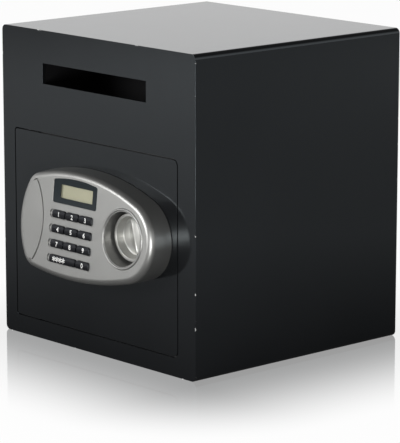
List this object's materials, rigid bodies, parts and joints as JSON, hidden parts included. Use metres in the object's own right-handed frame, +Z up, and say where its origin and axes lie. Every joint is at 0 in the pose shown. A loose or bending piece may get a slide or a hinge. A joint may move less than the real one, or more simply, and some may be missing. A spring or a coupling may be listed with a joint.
{
  "type": "depository safe",
  "caption": "Front-loading steel depository safe with a deposit slot and chute, a flush door on a concealed hinge, and a keypad lock whose knob throws sliding bolts.",
  "frame": {"origin": "centre of the base's underside, where the safe stands", "axes": "+Z up, -Y out of the front with the door and slot, +X to the right seen from the front"},
  "size_m": [0.35, 0.3689, 0.38],
  "materials": {
    "cabinet_paint": "gloss black baked enamel",
    "front_paint": "gloss black baked enamel",
    "inner_paint": "satin black paint",
    "felt": "needled felt",
    "bare_steel": "turned bright steel",
    "bright_steel": "ground and plated",
    "zinc_steel": "zinc plated",
    "housing_plastic": "fine satin silver-grey",
    "knob_silver": "metallic silver paint",
    "gasket_rubber": "foam rubber",
    "mat_rubber": "moulded silicone",
    "lens": "smoked clear plastic",
    "display": "liquid crystal, unlit",
    "board": "solder mask",
    "key_plastic": "gloss black",
    "black_plastic": "moulded",
    "red_plastic": "moulded",
    "bush_brass": "turned",
    "cell_sleeve": "plastic sleeve"
  },
  "bodies": {
    "cabinet": {"body_wrap": "cabinet_paint", "front_plate": "front_paint", "back_plate": "cabinet_paint", "strike_plate": "inner_paint", "door_stops": "inner_paint", "hinge_brackets": "inner_paint", "deposit_chute": "inner_paint", "chute_teeth": "inner_paint", "floor_mat": "felt"},
    "door": {"door_plate": "front_paint", "hinge_blocks": "inner_paint", "hinge_pins": "bare_steel", "door_cover": "inner_paint", "cover_screws": "bare_steel", "bolt_guide": "zinc_steel", "guide_studs": "bare_steel", "lock_housing": "housing_plastic", "housing_gasket": "gasket_rubber", "housing_screws": "bare_steel", "display_lens": "lens", "display_panel": "display", "circuit_board": "board", "key_mat": "mat_rubber", "spindle_bush": "bush_brass", "solenoid_body": "zinc_steel", "plunger_spring": "bare_steel", "battery_box": "black_plastic", "batteries": "cell_sleeve", "override_barrel": "bare_steel", "reset_switch": "black_plastic"},
    "knob": {"knob": "knob_silver", "knob_spindle": "bare_steel", "bolt_cam": "zinc_steel"},
    "boltwork": {"bolt_carriage": "zinc_steel", "locking_bolts": "bright_steel"},
    "key_1": {"key_1": "key_plastic"},
    "key_2": {"key_2": "key_plastic"},
    "key_3": {"key_3": "key_plastic"},
    "key_4": {"key_4": "key_plastic"},
    "key_5": {"key_5": "key_plastic"},
    "key_6": {"key_6": "key_plastic"},
    "key_7": {"key_7": "key_plastic"},
    "key_8": {"key_8": "key_plastic"},
    "key_9": {"key_9": "key_plastic"},
    "key_wide": {"key_wide": "key_plastic"},
    "key_0": {"key_0": "key_plastic"},
    "keyhole_cover": {"keyhole_cover": "housing_plastic"},
    "override": {"override_plug": "bright_steel", "override_cam": "zinc_steel"},
    "plunger": {"solenoid_plunger": "bright_steel"},
    "reset_button": {"reset_button": "red_plastic"},
    "battery_lid": {"battery_lid": "black_plastic"}
  },
  "joints": [
    {"name": "door_hinge", "type": "hinge", "parent": "cabinet", "child": "door", "pos_m": [-0.1315, -0.157, 0.1395], "axis": [0, 0, -1], "range_deg": [0, 100]},
    {"name": "knob_turn", "type": "hinge", "parent": "door", "child": "knob", "pos_m": [0.085, -0.198, 0.159], "axis": [0, 1, 0], "range_deg": [0, 90]},
    {"name": "bolt_slide", "type": "slide", "parent": "door", "child": "boltwork", "axis": [1, 0, 0], "range_m": [0, 0.0198]},
    {"name": "press_1", "type": "slide", "parent": "door", "child": "key_1", "axis": [0, 0.9945, -0.1045], "range_m": [0, 0.0012], "stiffness_N_per_m": 600, "springref_m": -0.0006},
    {"name": "press_2", "type": "slide", "parent": "door", "child": "key_2", "axis": [0, 0.9945, -0.1045], "range_m": [0, 0.0012], "stiffness_N_per_m": 600, "springref_m": -0.0006},
    {"name": "press_3", "type": "slide", "parent": "door", "child": "key_3", "axis": [0, 0.9945, -0.1045], "range_m": [0, 0.0012], "stiffness_N_per_m": 600, "springref_m": -0.0006},
    {"name": "press_4", "type": "slide", "parent": "door", "child": "key_4", "axis": [0, 0.9945, -0.1045], "range_m": [0, 0.0012], "stiffness_N_per_m": 600, "springref_m": -0.0006},
    {"name": "press_5", "type": "slide", "parent": "door", "child": "key_5", "axis": [0, 0.9945, -0.1045], "range_m": [0, 0.0012], "stiffness_N_per_m": 600, "springref_m": -0.0006},
    {"name": "press_6", "type": "slide", "parent": "door", "child": "key_6", "axis": [0, 0.9945, -0.1045], "range_m": [0, 0.0012], "stiffness_N_per_m": 600, "springref_m": -0.0006},
    {"name": "press_7", "type": "slide", "parent": "door", "child": "key_7", "axis": [0, 0.9945, -0.1045], "range_m": [0, 0.0012], "stiffness_N_per_m": 600, "springref_m": -0.0006},
    {"name": "press_8", "type": "slide", "parent": "door", "child": "key_8", "axis": [0, 0.9945, -0.1045], "range_m": [0, 0.0012], "stiffness_N_per_m": 600, "springref_m": -0.0006},
    {"name": "press_9", "type": "slide", "parent": "door", "child": "key_9", "axis": [0, 0.9945, -0.1045], "range_m": [0, 0.0012], "stiffness_N_per_m": 600, "springref_m": -0.0006},
    {"name": "press_wide", "type": "slide", "parent": "door", "child": "key_wide", "axis": [0, 0.9945, -0.1045], "range_m": [0, 0.0012], "stiffness_N_per_m": 600, "springref_m": -0.0006},
    {"name": "press_0", "type": "slide", "parent": "door", "child": "key_0", "axis": [0, 0.9945, -0.1045], "range_m": [0, 0.0012], "stiffness_N_per_m": 600, "springref_m": -0.0006},
    {"name": "cover_lift", "type": "slide", "parent": "door", "child": "keyhole_cover", "axis": [0, -0.9945, 0.1045], "range_m": [0, 0.02]},
    {"name": "override_turn", "type": "hinge", "parent": "door", "child": "override", "pos_m": [-0.08, -0.198, 0.159], "axis": [0, 1, 0], "range_deg": [0, 90]},
    {"name": "plunger_pull", "type": "slide", "parent": "door", "child": "plunger", "axis": [0, 0, 1], "range_m": [0, 0.004], "stiffness_N_per_m": 200, "springref_m": -0.004, "deforming": ["plunger_spring"]},
    {"name": "reset_press", "type": "slide", "parent": "door", "child": "reset_button", "axis": [0, -1, 0], "range_m": [0, 0.0015], "stiffness_N_per_m": 400, "springref_m": -0.001},
    {"name": "lid_pull", "type": "slide", "parent": "door", "child": "battery_lid", "axis": [0, 1, 0], "range_m": [0, 0.015]}
  ],
  "couplings": [
    {"joint": "knob_turn", "follows": "bolt_slide", "rad_per_m": 79.333}
  ]
}
